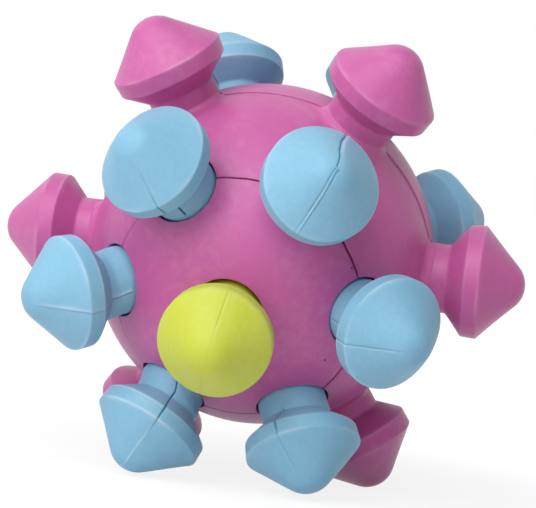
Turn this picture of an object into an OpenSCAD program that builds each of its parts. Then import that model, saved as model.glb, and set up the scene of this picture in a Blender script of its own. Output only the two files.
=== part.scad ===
// Treat dispensing ball: a hollow rubber ball in four panels, studded all over.
// Blue studs and green plugs push into holes in the panels, and pink studs are moulded on the equator.
// Millimetres. +Z is up, the origin is the centre of the ball, and the ball stands on four stud tips.

/* [Ball] */
// Outer diameter of the hollow ball, without its studs
ball_d = 89; // [84:1:100]
// Thickness of the rubber wall
wall_t = 6; // [5:0.5:8]
// Angle at the centre between each pole and the ring of blue studs beside it
ring_angle = 46.1; // [44:0.1:48]

/* [Seams] */
// Width of the open seam between a cap and the band beside it
seam_gap = 0.4; // [0.2:0.05:0.8]
// Width of the ledge on each band that carries the edge of the cap
ledge_w = 2.2; // [1.5:0.1:3]
// Clearance between a cap and its ledge
seat_clear = 0.1; // [0.05:0.05:0.2]
// Width of the parting line between the two bands at the equator
parting_gap = 0.2; // [0.1:0.05:0.4]
// Height of the lap that centres the back band in the front band
lap_h = 2.5; // [1.5:0.5:4]
// Clearance between the two bands in the lap
lap_clear = 0.15; // [0.1:0.05:0.25]
// How far the moulding lip at the parting line stands out of the back band
lip_out = 0.3; // [0.1:0.1:0.6]
// Width of the moulding lip
lip_w = 1.2; // [0.8:0.1:2]

/* [Stud heads] */
// Diameter of every stud's neck
neck_d = 17.6; // [16:0.1:19]
// Height of the neck above the ball, measured on the stud's axis
neck_h = 5; // [4:0.1:7]
// Height of the sloping underside of the head
flare_h = 4.7; // [4:0.1:6.5]
// Diameter of the head where its underside meets the rim
flare_d = 29; // [26:0.1:29.4]
// Diameter of the head at the top of the rim
rim_d = 29.6; // [29:0.1:31]
// Height of the rim
rim_h = 4.1; // [3:0.1:5]
// Height of the pointed top, from the rim to the rounded tip
cone_h = 11.7; // [10:0.1:14]
// Radius of the rounded tip
tip_r = 6.8; // [4:0.1:8]
// Rounding of the two edges of the rim
edge_r = 1; // [0.5:0.1:1.6]
// Rounding of the inner corner between the neck and the underside
crook_r = 1.2; // [0.5:0.1:2]

/* [Moulded pink studs] */
// Radius of the fillet that blends a pink neck into the front band
root_fillet_r = 3; // [1.5:0.1:4]

/* [Stud holes and roots] */
// Clearance between a neck and the round part of its hole
hole_clear = 0.35; // [0.25:0.05:0.6]
// How far the pointed corners of a hole reach past its round part, along the seam
eye_reach = 0.8; // [0.6:0.1:1.5]
// Clearance of a root's bead, and of a plug's bulb, in its hole
fit_clear = 0.1; // [0.05:0.01:0.15]
// How far a root reaches into the treat chamber
root_reach = 2; // [1:0.1:3]
// Length of the bead at the end of a root
bead_h = 4; // [3:0.1:5]
// Chamfer that leads a bead or a bulb into its hole
lead_in = 1; // [0.5:0.1:1.5]
// Width of the two keys that stop a stud from turning
key_w = 1.2; // [0.8:0.1:1.6]
// Clearance between the end of a key and the corner of its hole
key_clear = 0.4; // [0.3:0.05:0.5]
// Depth of the top of a key below the ball's surface
key_drop = 2; // [1.5:0.1:3]

/* [Green plugs] */
// Diameter of the treat port in the middle of each cap
port_d = 20.4; // [20:0.1:23]
// Diameter of a plug's head at the top of its rim
plug_rim_d = 28.8; // [28.2:0.1:29.6]
// Diameter of a plug's head where its underside meets the rim
plug_flare_d = 28.2; // [26:0.1:28.6]
// Height of a plug's pointed top
plug_cone_h = 11.3; // [10:0.1:14]
// How far a plug's bulb reaches into the treat chamber
plug_reach = 2.5; // [1.5:0.1:3.5]
// Length of the straight side of a bulb
bulb_h = 1.8; // [1.2:0.1:2.5]
// Height of the slope between a bulb and its neck
bulb_slope_h = 1.8; // [1:0.1:2.2]

/* [Hidden] */

pink = [0.80, 0.38, 0.64];
blue = [0.55, 0.76, 0.87];
green = [0.77, 0.83, 0.27];

// Studs round each ring and round the equator, one to a meridian
studs_per_ring = 6;
step_angle = 360 / studs_per_ring;
equator_angle = 90;

// Facets of a full circle, and steps of a rounded corner in an outline
round_fn = 96;
arc_steps = 6;

ball_r = ball_d / 2;
chamber_r = ball_r - wall_t;
// Longer than any cut has to be
overrun = ball_d;

// Lean of the polar axis that puts four stud tips on the floor at once
stance_tilt = atan2(cos(step_angle / 2) * (1 - sin(ring_angle)), cos(ring_angle));

// Half the seam, as an angle at the centre
seam_half_angle = asin(seam_gap / ball_d);
// Half way through the wall, where the lap and the ledges are
lap_r = ball_r - wall_t / 2;
ledge_angle = asin(ledge_w / lap_r);

neck_r = neck_d / 2;
hole_r = neck_r + hole_clear;
eye_r = hole_r + eye_reach;
// A hole is an eye: two circles of this radius, set apart by twice this offset
eye_arc_r = (eye_r * eye_r + hole_r * hole_r) / (2 * hole_r);
eye_offset = eye_arc_r - hole_r;

bead_r = hole_r - fit_clear;
root_end = chamber_r - root_reach;
key_r = eye_r - key_clear;
key_low = sqrt(pow(chamber_r, 2) - pow(key_r, 2));
key_top = sqrt(pow(ball_r, 2) - pow(key_r, 2)) - key_drop;

bulb_r = port_d / 2 - fit_clear;
plug_end = chamber_r - plug_reach;
bulb_top = plug_end + lead_in + bulb_h;

// The fillet sinks this far into the neck and the ball, so that it meets both at a clear angle
fillet_sink = root_fillet_r / 20;
fillet_x = neck_r - fillet_sink + root_fillet_r;
fillet_z = sqrt(pow(ball_r - fillet_sink + root_fillet_r, 2) - pow(fillet_x, 2));
// Turn of the fillet, from the neck to the ball
fillet_turn = 90 - atan2(fillet_x, fillet_z);
// Half way through the wall, where the ring that carries the fillet starts
fillet_foot = chamber_r + wall_t / 2;

// Points on the arc that rounds the corner p of an outline, between its neighbours a and b
function corner(a, p, b, r) =
    let(
        u = (a - p) / norm(a - p),
        v = (b - p) / norm(b - p),
        half = acos(u * v) / 2,
        centre = p + (u + v) / norm(u + v) * r / sin(half),
        from = p + u * r / tan(half) - centre,
        to = p + v * r / tan(half) - centre,
        start = atan2(from.y, from.x),
        turn = (atan2(to.y, to.x) - start + 540) % 360 - 180
    )
    arc(centre, r, start, start + turn);

// Points along an arc from one angle to another
function arc(centre, r, start, end) = [
    for (i = [0:arc_steps])
        let(angle = start + (end - start) * i / arc_steps)
        centre + r * [cos(angle), sin(angle)]
];

// Half outline of a head, from the top of its neck to its tip
function head_outline(flare, rim, cone) =
    let(
        neck_top = ball_r + neck_h,
        rim_low = neck_top + flare_h,
        rim_top = rim_low + rim_h,
        tip_centre = [0, rim_top + cone - tip_r],
        to_tip = tip_centre - [rim, rim_top],
        flank_angle = atan2(to_tip.y, to_tip.x) - asin(tip_r / norm(to_tip)),
        tip_start = flank_angle - 90,
        tip_edge = tip_centre + tip_r * [cos(tip_start), sin(tip_start)]
    )
    concat(
        corner([neck_r, ball_r], [neck_r, neck_top], [flare, rim_low], crook_r),
        corner([neck_r, neck_top], [flare, rim_low], [rim, rim_top], edge_r),
        corner([flare, rim_low], [rim, rim_top], tip_edge, edge_r),
        arc(tip_centre, tip_r, tip_start, 90)
    );

stud_head = head_outline(flare_d / 2, rim_d / 2, cone_h);
plug_head = head_outline(plug_flare_d / 2, plug_rim_d / 2, plug_cone_h);

// Stands the ball on its tips: the front pole points to -Y and a little down
module stance() {
    rotate([90 + stance_tilt, 0, 0]) children();
}

// Puts a shape drawn along +Z on one stud place of the ball
module stud_place(polar, number) {
    rotate([0, polar, number * step_angle]) children();
}

// Repeats a shape on all six places of a ring
module each_place(polar) {
    for (number = [0:studs_per_ring - 1])
        stud_place(polar, number) children();
}

// Spins a half outline about +Z
module spun(points) {
    rotate_extrude($fn = round_fn) polygon(points);
}

// Space for a cap: a cone up to one parallel, and a narrower one below the ledge
module cap_space(polar, floor_r) {
    low = polar - ledge_angle;
    spun([
        [0, 0],
        floor_r * [sin(low), cos(low)],
        floor_r * [sin(polar), cos(polar)],
        overrun * [sin(polar), cos(polar)],
        [0, overrun]
    ]);
}

// Eye shaped hole for one stud, with its corners on the seam
module eye_hole() {
    intersection_for (side = [-1, 1])
        translate([side * eye_offset, 0, 0]) cylinder(h = overrun, r = eye_arc_r, $fn = round_fn);
}

// Block that fills all of space above a height
module above(height) {
    translate([-overrun, -overrun, height]) cube([2 * overrun, 2 * overrun, overrun]);
}

// The hollow inside
module chamber() {
    sphere(r = chamber_r, $fn = round_fn);
}

// Polar panel: a scalloped dish with a stepped edge and the treat port in its middle
module cap_panel() {
    difference() {
        intersection() {
            sphere(r = ball_r, $fn = round_fn);
            cap_space(ring_angle - seam_half_angle, lap_r + seat_clear);
        }
        chamber();
        each_place(ring_angle) eye_hole();
        cylinder(h = overrun, d = port_d, $fn = round_fn);
    }
}

// Rebate inside the front band's edge, which stops short of the pink studs
module lap_rebate() {
    difference() {
        translate([0, 0, -lap_h]) cylinder(h = 2 * lap_h + lap_clear, r = lap_r + lap_clear, $fn = round_fn);
        each_place(equator_angle) cylinder(h = overrun, r = hole_r, $fn = round_fn);
    }
}

// Pink stud that goes right through the wall
module moulded_stud() {
    spun(concat([[0, root_end], [neck_r, root_end]], stud_head));
}

// Ring that fills the corner between a pink neck and the ball
module root_fillet() {
    spun(concat(
        [[neck_r / 2, fillet_foot], [fillet_x, fillet_foot]],
        arc([fillet_x, fillet_z], root_fillet_r, 180 + fillet_turn, 180),
        [[neck_r / 2, fillet_z]]
    ));
}

// Blue stud with a beaded root and two keys, which pushes into an eye shaped hole
module push_in_stud() {
    spun(concat(
        [
            [0, root_end],
            [bead_r - lead_in, root_end],
            [bead_r, root_end + lead_in],
            [bead_r, root_end + bead_h - lead_in],
            [neck_r, root_end + bead_h]
        ],
        stud_head
    ));
    translate([-key_w / 2, -key_r, key_low]) cube([key_w, 2 * key_r, key_top - key_low]);
}

// Green plug with a bulb that fills the treat port below the surface
module port_plug() {
    spun(concat(
        [
            [0, plug_end],
            [bulb_r - lead_in, plug_end],
            [bulb_r, plug_end + lead_in],
            [bulb_r, bulb_top],
            [neck_r, bulb_top + bulb_slope_h]
        ],
        plug_head
    ));
}

module front_cap() {
    color(pink) stance() cap_panel();
}

module back_cap() {
    color(pink) stance() rotate([180, 0, 0]) cap_panel();
}

// Front half of the belt, with the six pink studs, which it carries half way past the equator
module front_band() {
    color(pink) stance() difference() {
        union() {
            intersection() {
                above(0);
                sphere(r = ball_r, $fn = round_fn);
            }
            each_place(equator_angle) moulded_stud();
            intersection() {
                above(0);
                each_place(equator_angle) root_fillet();
            }
        }
        chamber();
        cap_space(ring_angle + seam_half_angle, lap_r);
        each_place(ring_angle) eye_hole();
        lap_rebate();
    }
}

// Back half of the belt, with the lap, the lip and half an eye shaped hole round each pink neck
module back_band() {
    color(pink) stance() mirror([0, 0, 1]) difference() {
        union() {
            difference() {
                union() {
                    sphere(r = ball_r, $fn = round_fn);
                    translate([0, 0, -lip_w])
                        cylinder(h = 2 * lip_w + parting_gap, r = ball_r + lip_out, $fn = round_fn);
                }
                mirror([0, 0, 1]) above(-parting_gap);
            }
            translate([0, 0, -lap_h]) cylinder(h = lap_h + wall_t, r = lap_r, $fn = round_fn);
        }
        chamber();
        cap_space(ring_angle + seam_half_angle, lap_r);
        each_place(ring_angle) eye_hole();
        each_place(equator_angle) eye_hole();
    }
}

module blue_stud_front(number) {
    color(blue) stance() stud_place(ring_angle, number) push_in_stud();
}

module blue_stud_back(number) {
    color(blue) stance() stud_place(180 - ring_angle, number) push_in_stud();
}

module green_plug_front() {
    color(green) stance() port_plug();
}

module green_plug_back() {
    color(green) stance() rotate([180, 0, 0]) port_plug();
}

front_cap();
front_band();
back_band();
back_cap();
blue_stud_front(0);  // blue_stud_front_1
blue_stud_front(1);  // blue_stud_front_2
blue_stud_front(2);  // blue_stud_front_3
blue_stud_front(3);  // blue_stud_front_4
blue_stud_front(4);  // blue_stud_front_5
blue_stud_front(5);  // blue_stud_front_6
blue_stud_back(0);  // blue_stud_back_1
blue_stud_back(1);  // blue_stud_back_2
blue_stud_back(2);  // blue_stud_back_3
blue_stud_back(3);  // blue_stud_back_4
blue_stud_back(4);  // blue_stud_back_5
blue_stud_back(5);  // blue_stud_back_6
green_plug_front();
green_plug_back();
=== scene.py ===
import math

import bpy
import numpy as np
from bpy.props import FloatProperty, FloatVectorProperty, PointerProperty
from mathutils import Matrix, Vector


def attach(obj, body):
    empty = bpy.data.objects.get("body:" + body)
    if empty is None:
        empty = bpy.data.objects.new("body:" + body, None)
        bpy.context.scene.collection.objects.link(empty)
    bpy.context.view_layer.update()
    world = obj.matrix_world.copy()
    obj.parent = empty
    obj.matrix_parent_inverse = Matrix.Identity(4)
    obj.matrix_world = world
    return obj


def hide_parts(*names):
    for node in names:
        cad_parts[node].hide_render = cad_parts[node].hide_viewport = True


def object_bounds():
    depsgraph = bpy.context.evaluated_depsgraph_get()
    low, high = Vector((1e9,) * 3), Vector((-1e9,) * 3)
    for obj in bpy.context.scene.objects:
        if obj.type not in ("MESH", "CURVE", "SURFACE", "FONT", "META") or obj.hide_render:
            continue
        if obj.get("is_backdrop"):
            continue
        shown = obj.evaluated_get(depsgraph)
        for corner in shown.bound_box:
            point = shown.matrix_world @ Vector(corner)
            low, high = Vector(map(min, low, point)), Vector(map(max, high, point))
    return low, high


bl_info = {
    "name": "Treat Dispensing Ball",
    "version": (1, 0, 0),
    "blender": (4, 5, 0),
    "location": "3D View > Sidebar > Treat Ball",
    "description": "Dresses a studded rubber treat ball in four panels, with push-in studs and port plugs",
    "category": "Add Mesh",
}

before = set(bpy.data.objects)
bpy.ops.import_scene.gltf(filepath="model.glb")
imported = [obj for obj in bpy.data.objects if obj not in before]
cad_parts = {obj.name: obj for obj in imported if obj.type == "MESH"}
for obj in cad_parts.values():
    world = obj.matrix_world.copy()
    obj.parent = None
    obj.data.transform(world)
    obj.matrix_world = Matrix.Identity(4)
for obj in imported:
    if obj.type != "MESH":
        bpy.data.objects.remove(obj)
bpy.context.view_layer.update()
STUDS_PER_RING = 6
SECTOR = 2 * math.pi / STUDS_PER_RING
PANEL_SEED, PINK_SEED, GREEN_SEED, BLUE_SEED = 11, 31, 71, 100


# Sizes and finishes

def number(name, description, default, low=0.0, **more):
    """Number that the panel shows, with its smallest value."""
    return FloatProperty(name=name, description=description, default=default, min=low, **more)


def length(*words):
    """Length in metres: name, description, default and smallest value."""
    return number(*words, unit="LENGTH")


def share(*words):
    """Share between 0 and 1: name, description and default."""
    return number(*words, max=1.0, subtype="FACTOR")


def colour(name, description, default):
    """Colour in linear light."""
    return FloatVectorProperty(name=name, description=description, default=default, subtype="COLOR",
                               min=0.0, max=1.0)


class BallSizes(bpy.types.PropertyGroup):
    outer_radius: length("Outer radius", "Radius of the hollow ball without its studs", 0.0445, 0.01)
    inner_radius: length("Inner radius", "Radius of the treat chamber", 0.0385, 0.01)
    ring_angle: number("Ring angle", "Angle at the centre between a pole and the blue studs beside it",
                       math.radians(46.1), subtype="ANGLE", unit="ROTATION")
    seam_gap: length("Seam gap", "Width of the open seam between a cap and the band beside it",
                     0.0004, 0.0001)
    parting_gap: length("Parting gap", "Width of the parting line between the two bands", 0.0001, 0.00005)
    parting_round: length("Parting rounding", "Rounding of the two edges at the parting line",
                          0.00012, 0.00005)
    back_fullness: length("Back fullness", "How much the back band bulges past a true sphere", 0.0006)
    ledge_width: length("Ledge width", "Width of the ledge on each band that carries the edge of the cap",
                        0.0022, 0.0005)
    seat_clear: length("Seat clearance", "Clearance between a cap and its ledge", 0.0001, 0.00002)
    edge_round: length("Edge rounding", "Rounding of every panel edge", 0.0002, 0.00005)
    lip_out: length("Lip height", "How far the moulding lip stands out of the back band", 0.0003)
    lip_width: length("Lip width", "Width of the moulding lip on the back band", 0.0012, 0.0002)
    lap_height: length("Lap height", "Height of the lap that centres the back band in the front band",
                       0.0025, 0.0005)
    lap_clear: length("Lap clearance", "Clearance between the two bands in the lap", 0.00015, 0.00005)
    hole_radius: length("Hole radius", "Radius of the round part of a stud hole", 0.00915, 0.005)
    eye_radius: length("Eye corner radius", "Reach of the pointed corners of a stud hole along its seam",
                       0.0095, 0.005)
    port_radius: length("Port radius", "Radius of the treat port in the middle of each cap", 0.0097, 0.005)
    fillet: length("Root fillet", "Radius of the fillet that blends a pink neck into the front band",
                   0.003, 0.0005)


class StudSizes(bpy.types.PropertyGroup):
    neck_radius: length("Neck radius", "Radius of every blue neck", 0.0088, 0.002)
    moulded_neck_radius: length("Moulded neck radius", "Radius of the necks of the pink studs", 0.009, 0.002)
    neck_height: length("Neck height", "Height of the neck above the ball", 0.005, 0.001)
    flare_height: length("Underside height", "Height of the sloping underside of a head", 0.0047, 0.001)
    rim_height: length("Rim height", "Height of the rim of a head", 0.0041, 0.0005)
    flare_radius: length("Underside radius", "Radius of a stud's head where its underside meets the rim",
                         0.0145, 0.002)
    rim_radius: length("Rim radius", "Radius of a stud's head at the top of the rim", 0.0148, 0.002)
    cone_height: length("Cone height", "Height of a stud's pointed top", 0.0117, 0.001)
    plug_neck_radius: length("Plug neck radius", "Radius of a plug's neck", 0.0084, 0.002)
    plug_flare_radius: length("Plug underside radius",
                              "Radius of a plug's head where its underside meets the rim", 0.0141, 0.002)
    plug_rim_radius: length("Plug rim radius", "Radius of a plug's head at the top of the rim", 0.0144, 0.002)
    plug_cone_height: length("Plug cone height", "Height of a plug's pointed top", 0.0113, 0.001)
    tip_radius: length("Tip radius", "Radius of every rounded tip", 0.0074, 0.001)
    edge_round: length("Rim rounding", "Rounding of the two edges of a rim", 0.0007, 0.0002)
    plug_round: length("Plug rim rounding", "Rounding of the upper edge of a plug's rim", 0.0022, 0.0002)
    crook_round: length("Crook rounding", "Rounding of the inner corner between a neck and its underside",
                        0.0012, 0.0002)
    mould_line: length("Mould line depth", "Depth of the two mould lines on each blue stud", 0.00030)
    wobble: length("Wobble", "How far the moulded rubber of a stud strays from its true shape", 0.00012)


class RubberFinish(bpy.types.PropertyGroup):
    pink: colour("Pink", "Colour of the four panels and the moulded studs", (0.532, 0.108, 0.332))
    blue: colour("Blue", "Colour of the push-in studs", (0.219, 0.461, 0.636))
    green: colour("Green", "Colour of the port plugs", (0.526, 0.573, 0.048))
    roughness: share("Roughness", "Roughness of the matte rubber", 0.48)
    pink_roughness: share("Pink roughness", "Roughness of the smoother pink rubber", 0.38)
    mottle: share("Mottle", "How much the pigment varies over a piece", 0.28)
    grain: length("Grain depth", "Depth of the fine moulded grain", 0.000012)


class StageSettings(bpy.types.PropertyGroup):
    lens: number("Lens", "Focal length of the camera in millimetres", 185.3, 20.0)
    distance: length("Camera distance", "Distance from the camera to the ball's centre", 0.727, 0.2)
    top_watts: number("Top light", "Power of the soft light above the ball", 8.7)
    key_watts: number("Key light", "Power of the soft light above on the left", 7.7)
    low_watts: number("Low light", "Power of the low soft light in front on the left", 1.9)
    front_watts: number("Front light", "Power of the soft light above the camera", 5.1)
    back_watts: number("Back light", "Power of the soft light behind on the left", 3.1)
    light_size: length("Light size", "Side of each square soft light", 1.15, 0.05)
    sky: number("Room light", "Strength of the even light from the white room", 0.20)
    shadow: share("Shadow", "How much of the floor's shadow the camera sees", 0.20)


PROPERTY_GROUPS = (("ball_sizes", BallSizes), ("stud_sizes", StudSizes),
                   ("rubber_finish", RubberFinish), ("stage_settings", StageSettings))


# What the photograph shows of this one ball. Studs are numbered round the pole from the right, upwards.

# How open the front seam is between neighbouring studs, as shares of its gap: from 1 to 2, and on round
SEAM_OPENING = (1.7, 0.9, 0.15, 0.15, 0.9, 1.4)

# Pinholes in the pink rubber, painted as dark dots of shade since the mesh has no pits
PINHOLES = ((0.02886, -0.03385, 0.00127), (0.02431, -0.0294, -0.0229), (0.03003, -0.01068, 0.03106))

# A mould line at the eight heights of line_heights: shares of its depth, shares of the ridge beside it, and
# how far it strays round the stud in metres. Then the ridge's place beside the line and its width. At place 0
# the ridge is the middle of the line, and a thin line runs on each side of it.
# A line's depth also sets the painted shade in its groove, and a ridge sets the painted highlight on it.
STRAIGHT = (0.0,) * 8
RIDGE = (0.0005, 0.0003)
NO_LINE = (STRAIGHT, STRAIGHT, STRAIGHT, RIDGE)
PLAIN_LINE = ((0.8, 0.8, 0.8, 0.8, 0.6, 0.4, 0.2, 0.0), (0.3,) * 7 + (0.0,), STRAIGHT, RIDGE)
FAINT_LINE = ((0.15, 0.15, 0.15, 0.3, 0.25, 0.3, 0.1, 0.05), (0.05,) * 8, STRAIGHT, RIDGE)

# The lines of a blue stud: the one away from the pole, then the one towards it
MOULD_LINES = {
    "blue_stud_front_1": (
        PLAIN_LINE,
        ((0.5, 0.5, 0.5, 0.6, 0.55, 0.45, 0.3, 0.1), (0.4,) * 7 + (0.0,), STRAIGHT, RIDGE)),
    "blue_stud_front_2": (
        ((0.8, 0.8, 0.8, 0.9, 0.8, 1.15, 1.15, 0.8), (0.2, 0.2, 0.2, 0.4, 1.0, 1.3, 0.9, 0.2),
         (0.0, 0.0, 0.0, 0.0, 0.0001, 0.0010, 0.0011, 0.0004), (-0.0009, 0.0005)),
        ((0.2, 0.2, 0.2, 0.15, 0.25, 0.65, 0.8, 1.0), (0.2, 0.2, 0.2, 0.2, 0.5, 0.9, 0.8, 0.0),
         (0.0,) * 7 + (-0.0002,), (0.0, 0.00028))),
    "blue_stud_front_3": (
        FAINT_LINE,
        ((2.2, 1.6, 0.6, 1.2, 0.5, 0.25, 0.0, 0.0), (0.2,) * 6 + (0.0, 0.0), STRAIGHT, RIDGE)),
    "blue_stud_front_4": (
        PLAIN_LINE,
        ((0.7, 0.5, 0.3, 0.3, 0.4, 0.35, 0.15, 0.0), (1.0, 0.6, 0.3, 0.4, 0.6, 1.3, 0.6, 0.0), STRAIGHT,
         (0.0006, 0.0004))),
    "blue_stud_front_5": (
        PLAIN_LINE,
        ((1.5, 1.5, 1.6, 1.5, 0.75, 0.1, 0.05, 0.0), (0.0, 0.0, 0.0, 0.0, 0.3, 0.9, 0.9, 0.7), STRAIGHT,
         (0.0001, 0.0003))),
    "blue_stud_front_6": (
        PLAIN_LINE,
        ((0.05, 1.1, 1.0, 1.1, 0.15, 0.30, 0.0, 0.0), (0.0, 0.1, 0.2, 0.2, 0.2, 0.2, 0.0, 0.0),
         (0.0, -0.0006, 0.0003, 0.0, 0.0, 0.0, 0.0, 0.0), RIDGE)),
    "blue_stud_back_1": (FAINT_LINE, FAINT_LINE),
}

# How a head stands off its true place: lean away from the pole and round the ball, shift along both and slip
# along both in its hole in metres, width share, length share, and twist about its own axis
TRUE_SHAPE = {"lean": (0.0, 0.0), "shift": (0.0, 0.0), "slip": (0.0, 0.0), "width": 1.0, "length": 1.0,
              "twist": 0.0}
HEAD_SHAPES = {
    "pink_stud_1": {"lean": (0.058, -0.003), "shift": (0.0001, -0.0001), "length": 0.969},
    "pink_stud_2": {"lean": (-0.018, -0.008), "shift": (-0.0002, 0.0), "width": 1.01},
    "pink_stud_3": {"lean": (-0.028, -0.026), "shift": (-0.0003, -0.0003), "width": 1.01},
    "pink_stud_4": {"lean": (0.0, 0.02)},
    "pink_stud_6": {"lean": (-0.105, 0.028), "width": 1.01},
    "blue_stud_front_1": {"lean": (-0.006, 0.007), "shift": (-0.0004, -0.0001), "width": 0.99,
                          "length": 1.01},
    "blue_stud_front_2": {"lean": (0.040, -0.062), "shift": (0.0, 0.0007), "width": 1.005, "twist": 0.12},
    "blue_stud_front_3": {"lean": (0.075, 0.028), "shift": (0.0003, -0.0001), "slip": (0.00028, -0.00008)},
    "blue_stud_front_4": {"lean": (0.016, 0.028), "shift": (0.0011, 0.0013), "length": 0.987},
    "blue_stud_front_5": {"lean": (-0.004, 0.003), "shift": (-0.0008, 0.0010), "width": 0.995,
                          "length": 0.967},
    "blue_stud_front_6": {"lean": (0.015, -0.010), "shift": (-0.0002, 0.0006), "length": 0.953},
    "blue_stud_back_3": {"lean": (0.0, -0.03), "length": 0.955},
    "blue_stud_back_4": {"lean": (0.11, 0.0)},
    "green_plug_front": {"lean": (0.03, -0.045), "shift": (-0.0007, -0.0002), "slip": (-0.0010, 0.0003),
                         "width": 1.005, "twist": -0.20},
}

# Name, place and share of the light size of each soft light
LIGHTS = (("key", (-0.75, -0.85, 0.85), 1.0),
          ("low", (-0.55, -1.35, 0.32), 0.6),
          ("top", (-0.1, -0.8, 1.15), 1.0),
          ("front", (-0.2, -1.3, 0.75), 1.0),
          ("back", (-0.9, 0.3, 1.0), 1.0))

# The camera, fitted to the outlines of the studs: the way to its right, the way from the ball to it, and how
# far it stands to the right of the ball's centre and above it
CAMERA_RIGHT, CAMERA_WAY = (0.9754, 0.1833, 0.1225), (0.1788, -0.9827, 0.0461)
CAMERA_OFFSET = (0.001165, 0.00018)


# Geometry helpers. The polar frame has the front pole on +Z; stand_up() turns it into the row frame.

def turned(points, axis, angle):
    """Points turned about X, Y or Z, which are axes 0, 1 and 2."""
    points = np.asarray(points, float)
    first, second = (axis + 1) % 3, (axis + 2) % 3
    u, v = points[..., first], points[..., second]
    result = points.copy()
    result[..., first] = u * math.cos(angle) - v * math.sin(angle)
    result[..., second] = u * math.sin(angle) + v * math.cos(angle)
    return result


def stand_up(points, ring_angle):
    """Turns points from the polar frame so that the ball stands on four stud tips."""
    lean = math.atan2(math.cos(SECTOR / 2) * (1 - math.sin(ring_angle)), math.cos(ring_angle))
    return turned(points, 0, math.pi / 2 + lean)


def place_on_ball(points, polar, azimuth):
    """Moves points drawn round +Z to a stud place of the ball, in the polar frame."""
    return turned(turned(points, 1, polar), 2, azimuth)


def round_axis(radius, azimuth, height):
    """Points at this distance from the Z axis, this angle round it and this height."""
    return np.stack(np.broadcast_arrays(radius * np.cos(azimuth), radius * np.sin(azimuth), height), -1)


def unit(vectors):
    """Vectors of length 1 along these."""
    return vectors / np.linalg.norm(vectors, axis=-1, keepdims=True)


def wrap(angle):
    """The angle brought between -pi and pi."""
    return (angle + math.pi) % (2 * math.pi) - math.pi


def smooth(t):
    """Soft step from 0 to 1."""
    t = np.clip(t, 0, 1)
    return t * t * (3 - 2 * t)


def bell(away, width):
    """1 in the middle, falling off to about a third at this width."""
    return np.exp(-(away / width) ** 2)


def soft_noise(points, seed, size, waves=10):
    """Smooth noise between about -1 and 1 with features of this size, the same on every run."""
    rng = np.random.RandomState(seed)
    total = np.zeros(points.shape[:-1])
    for _ in range(waves):
        way = rng.normal(size=3)
        way *= 2 * math.pi / (size * np.linalg.norm(way) * rng.uniform(0.8, 1.8))
        total += np.sin(points @ way + rng.uniform(0, 2 * math.pi))
    return total / math.sqrt(waves * 2)


def ring_faces(rows, columns, closed):
    """Faces between neighbouring rings of points, and from the last ring to the first if closed."""
    r, c = np.meshgrid(np.arange(rows if closed else rows - 1), np.arange(columns), indexing="ij")
    here, there = r * columns, (r + 1) % rows * columns
    after = (c + 1) % columns
    return np.stack((here + c, here + after, there + after, there + c), -1).reshape(-1, 4)


def outward(points, faces):
    """The faces turned so that they look out of the solid."""
    a, b, c, d = (points[faces[:, k]] for k in range(4))
    volume = np.einsum("ij,ij->", a, np.cross(b, c)) + np.einsum("ij,ij->", a, np.cross(c, d))
    return faces if volume > 0 else faces[:, ::-1]


def mesh_object(name, points, quads, fans=(), masks=None):
    """Mesh object with smooth faces. Fans are (ring of point numbers, centre point number)."""
    faces = [tuple(q) for q in quads.tolist()]
    for ring, centre in fans:
        faces += [(int(a), int(b), centre) for a, b in zip(ring, np.roll(ring, -1))]
    mesh = bpy.data.meshes.new(name)
    mesh.from_pydata(points.tolist(), [], faces)
    mesh.polygons.foreach_set("use_smooth", np.ones(len(mesh.polygons), bool))
    for label, values in (masks or {}).items():
        layer = mesh.attributes.new(label, "FLOAT", "POINT")
        layer.data.foreach_set("value", np.asarray(values, np.float32))
    if mesh.validate():
        raise RuntimeError(name + " has faces that aren't real")
    mesh.update()
    piece = bpy.data.objects.new(name, mesh)
    bpy.context.scene.collection.objects.link(piece)
    return piece


def fit_to_frame(piece, node, body, slot):
    """Lets a piece stand for its CAD node, with that node's body and slot, and the slot's material."""
    piece.data.materials.append(bpy.data.materials[slot.replace("_", " ").title()])
    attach(piece, body)
    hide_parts(node)


# Outlines of heads, necks and roots, as (distance from the axis, height) from the ball's centre

NECK_REST = 0.0008  # what a neck's straight part leaves below its top, for the rounded crook
HOLD_SLACK, KEY_SLACK = 0.0001, 0.0004  # how much smaller than its hole a bead or a bulb is, and a key


def on_circle(centre, radius, angle):
    """Point of a circle in an outline."""
    return tuple(centre + radius * np.array((math.cos(angle), math.sin(angle))))


def round_corner(before, point, after, radius, steps):
    """Points on the arc that rounds a corner of an outline."""
    before, point, after = (np.array(p, float) for p in (before, point, after))
    u, v = unit(before - point), unit(after - point)
    half = math.acos(float(u @ v)) / 2
    centre = point + unit(u + v) * radius / math.sin(half)
    start = point + u * radius / math.tan(half) - centre
    end = point + v * radius / math.tan(half) - centre
    first = math.atan2(start[1], start[0])
    turn = wrap(math.atan2(end[1], end[0]) - first)
    return [on_circle(centre, radius, first + turn * k / steps) for k in range(steps + 1)]


def straight(start, end, steps):
    """Points inside a straight stretch of an outline, without its ends."""
    start, end = np.array(start, float), np.array(end, float)
    return [tuple(start + (end - start) * k / steps) for k in range(1, steps)]


def head_heights(ball, stud):
    """Heights of a neck's top and of the lower and upper edge of the rim."""
    neck_top = ball.outer_radius + stud.neck_height
    rim_low = neck_top + stud.flare_height
    return neck_top, rim_low, rim_low + stud.rim_height


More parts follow.
